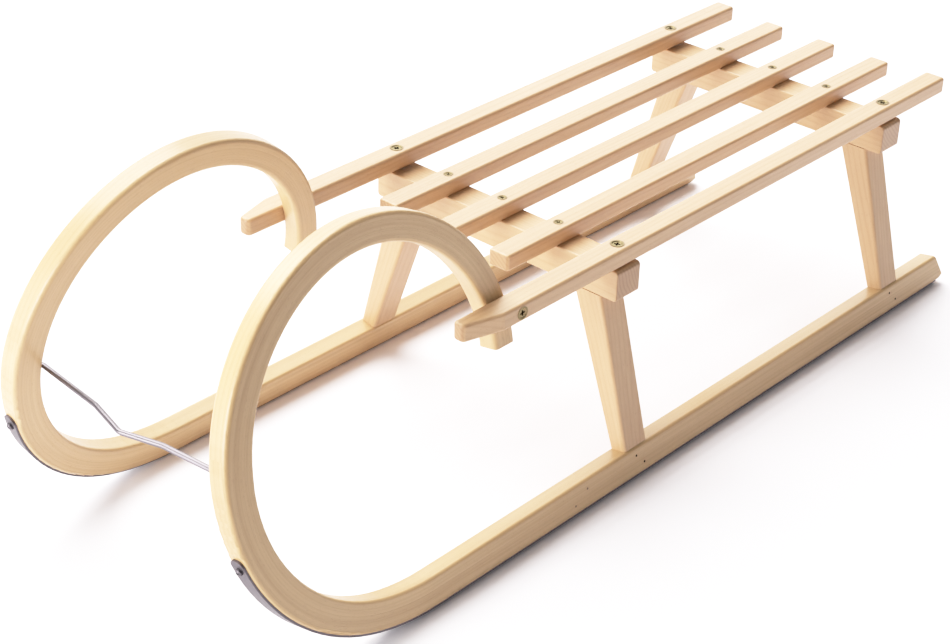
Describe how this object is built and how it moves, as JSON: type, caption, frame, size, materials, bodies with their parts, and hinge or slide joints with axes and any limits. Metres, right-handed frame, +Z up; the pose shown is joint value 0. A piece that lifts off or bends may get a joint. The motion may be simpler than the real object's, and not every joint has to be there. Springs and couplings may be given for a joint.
{
  "type": "wooden sled",
  "caption": "Wooden snow sled with bent laminated runners that curl up into horns, splayed legs, crossbars, slatted seat, steel shoes and a steel tow rod between the horns.",
  "frame": {"origin": "on the ground, in the middle of the sled's length and width", "axes": "+X forward to the horns, +Y to the sled's left, +Z up"},
  "size_m": [0.9999, 0.3594, 0.3535],
  "materials": {
    "wood_runner": "laminated beech with clear satin lacquer",
    "wood_leg": "beech with clear satin lacquer",
    "wood_crossbar": "beech with clear satin lacquer",
    "wood_slat": "beech with clear satin lacquer",
    "steel_shoe": "cold rolled strip, slightly scratched",
    "steel_rod": "zinc plated wire",
    "steel_washer": "zinc plated"
  },
  "bodies": {
    "root": {"runner_left": "wood_runner", "runner_right": "wood_runner", "shoe_left": "steel_shoe", "shoe_right": "steel_shoe", "leg_front_left": "wood_leg", "leg_front_right": "wood_leg", "leg_rear_left": "wood_leg", "leg_rear_right": "wood_leg", "crossbar_front": "wood_crossbar", "crossbar_rear": "wood_crossbar", "slat_outer_left": "wood_slat", "slat_inner_left": "wood_slat", "slat_centre": "wood_slat", "slat_inner_right": "wood_slat", "slat_outer_right": "wood_slat", "washer_front_left": "steel_washer", "washer_front_right": "steel_washer", "washer_rear_left": "steel_washer", "washer_rear_right": "steel_washer", "tow_rod": "steel_rod"}
  },
  "joints": []
}
